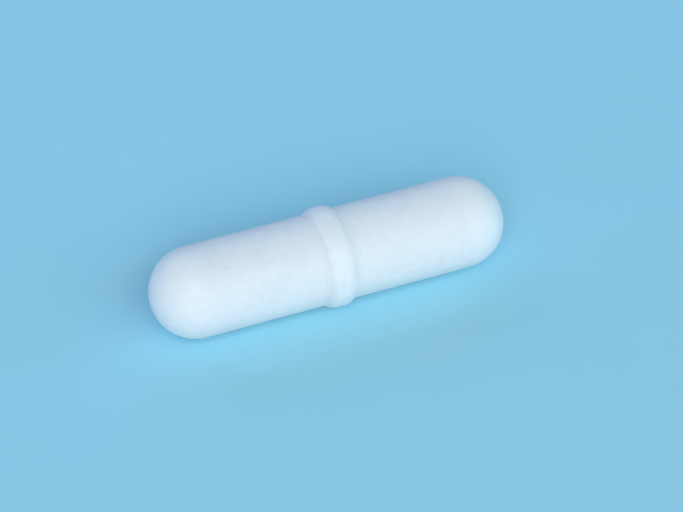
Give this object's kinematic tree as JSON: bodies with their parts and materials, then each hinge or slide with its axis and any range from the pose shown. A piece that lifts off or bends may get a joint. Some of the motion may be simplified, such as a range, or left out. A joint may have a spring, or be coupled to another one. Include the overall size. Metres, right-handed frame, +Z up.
{
  "type": "magnetic stir bar",
  "caption": "Round white stir bar with domed ends, a moulded pivot ring round its middle, and a rod magnet sealed inside.",
  "frame": {"origin": "on the bar's axis, in the middle of the pivot ring and of the bar's length", "axes": "+X along the bar's axis, from one domed end to the other; +Z up, from the surface that the ring rolls on; +Y across the bar"},
  "size_m": [0.0254, 0.007, 0.007],
  "materials": {
    "white_ptfe": "waxy satin, slightly translucent white fluoropolymer",
    "magnet_alloy": "dark grey cast magnet alloy, ground on its round side"
  },
  "bodies": {
    "root": {"ptfe_jacket": "white_ptfe", "magnet_core": "magnet_alloy"}
  },
  "joints": []
}
